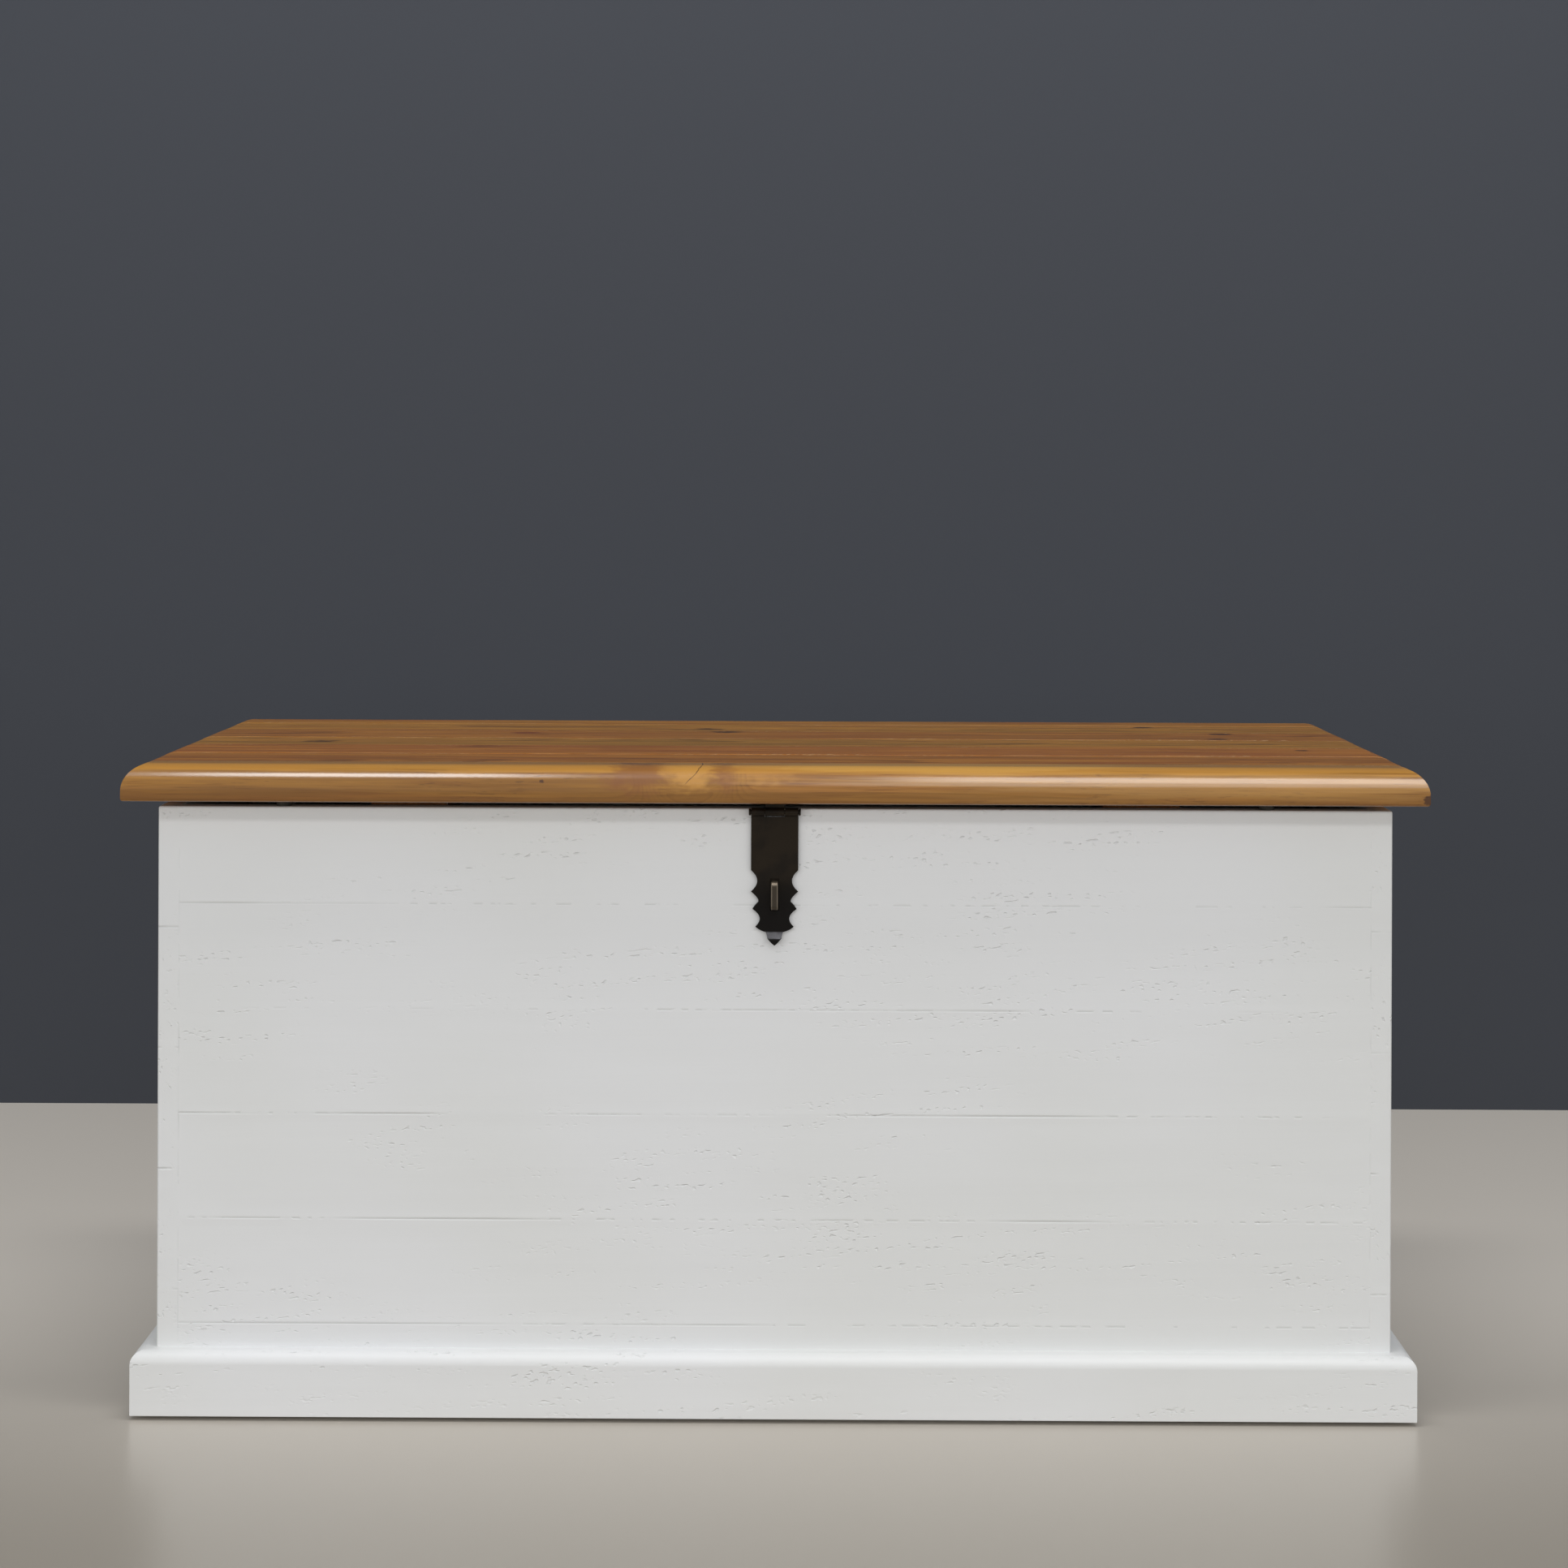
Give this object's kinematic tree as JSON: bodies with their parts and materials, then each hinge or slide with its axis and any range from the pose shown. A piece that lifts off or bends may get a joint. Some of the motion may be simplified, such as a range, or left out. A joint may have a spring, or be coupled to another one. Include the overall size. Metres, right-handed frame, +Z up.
{
  "type": "blanket chest",
  "caption": "Low rectangular blanket chest with a plinth, a hinged lid with rounded edges held open by sliding stays, and a scalloped hasp that hangs over a staple.",
  "frame": {"origin": "on the floor, under the middle of the lid: bottom centre of the bounding box", "axes": "+X along the width to the right as seen from the front, +Y from the front (hasp side) to the back (hinge side), +Z up"},
  "size_m": [1, 0.45, 0.503],
  "materials": {
    "painted_pine": "satin off-white paint over pine",
    "stained_pine": "honey-brown stain under satin lacquer",
    "nosing_pine": "golden stain under satin lacquer",
    "plain_pine": "bare planed pine",
    "dark_iron": "dark brown-black lacquered iron",
    "hinge_brass": "satin brass",
    "zinc_steel": "bright zinc plate",
    "dark_rubber": "matt"
  },
  "bodies": {
    "chest": {"front_board_1": "painted_pine", "front_board_2": "painted_pine", "front_board_3": "painted_pine", "front_board_4": "painted_pine", "front_board_5": "painted_pine", "front_board_6": "painted_pine", "back_board_1": "painted_pine", "back_board_2": "painted_pine", "back_board_3": "painted_pine", "back_board_4": "painted_pine", "back_board_5": "painted_pine", "left_side_board_1": "painted_pine", "left_side_board_2": "painted_pine", "left_side_board_3": "painted_pine", "left_side_board_4": "painted_pine", "left_side_board_5": "painted_pine", "right_side_board_1": "painted_pine", "right_side_board_2": "painted_pine", "right_side_board_3": "painted_pine", "right_side_board_4": "painted_pine", "right_side_board_5": "painted_pine", "front_cleat": "plain_pine", "back_cleat": "plain_pine", "bottom_panel": "plain_pine", "plinth_front": "painted_pine", "plinth_left": "painted_pine", "plinth_right": "painted_pine", "glide_front_left": "dark_rubber", "glide_front_right": "dark_rubber", "glide_back_left": "dark_rubber", "glide_back_right": "dark_rubber", "lid_bumper_left": "dark_rubber", "lid_bumper_right": "dark_rubber", "left_hinge_body_leaf": "hinge_brass", "left_hinge_pin": "hinge_brass", "right_hinge_body_leaf": "hinge_brass", "right_hinge_pin": "hinge_brass", "staple_plate": "dark_iron", "staple": "dark_iron", "left_stay_stud": "zinc_steel", "right_stay_stud": "zinc_steel"},
    "lid": {"lid_nosing": "nosing_pine", "lid_board_1": "stained_pine", "lid_board_2": "stained_pine", "lid_board_3": "stained_pine", "lid_board_4": "stained_pine", "lid_board_5": "stained_pine", "lid_back_strip": "stained_pine", "lid_batten_left": "stained_pine", "lid_batten_right": "stained_pine", "left_hinge_lid_leaf": "hinge_brass", "right_hinge_lid_leaf": "hinge_brass", "hasp_lid_leaf": "dark_iron", "hasp_pin": "dark_iron", "left_stay_bracket": "zinc_steel", "right_stay_bracket": "zinc_steel"},
    "strap": {"hasp_strap": "dark_iron"},
    "left_stay": {"left_stay_arm": "zinc_steel"},
    "right_stay": {"right_stay_arm": "zinc_steel"}
  },
  "joints": [
    {"name": "lid_hinge", "type": "hinge", "parent": "chest", "child": "lid", "pos_m": [0, 0.222, 0.472], "axis": [-1, 0, 0], "range_deg": [0, 95]},
    {"name": "hasp_swing", "type": "hinge", "parent": "lid", "child": "strap", "pos_m": [0, -0.2053, 0.467], "axis": [-1, 0, 0], "range_deg": [0, 115]},
    {"name": "left_stay_swing", "type": "hinge", "parent": "lid", "child": "left_stay", "pos_m": [-0.4567, 0.07227, 0.463], "axis": [-1, 0, 0], "range_deg": [-47.5, 0]},
    {"name": "right_stay_swing", "type": "hinge", "parent": "lid", "child": "right_stay", "pos_m": [0.4567, 0.07227, 0.463], "axis": [-1, 0, 0], "range_deg": [-47.5, 0]}
  ],
  "couplings": [
    {"joint": "left_stay_swing", "follows": "lid_hinge", "ratio": -0.5},
    {"joint": "right_stay_swing", "follows": "lid_hinge", "ratio": -0.5}
  ]
}
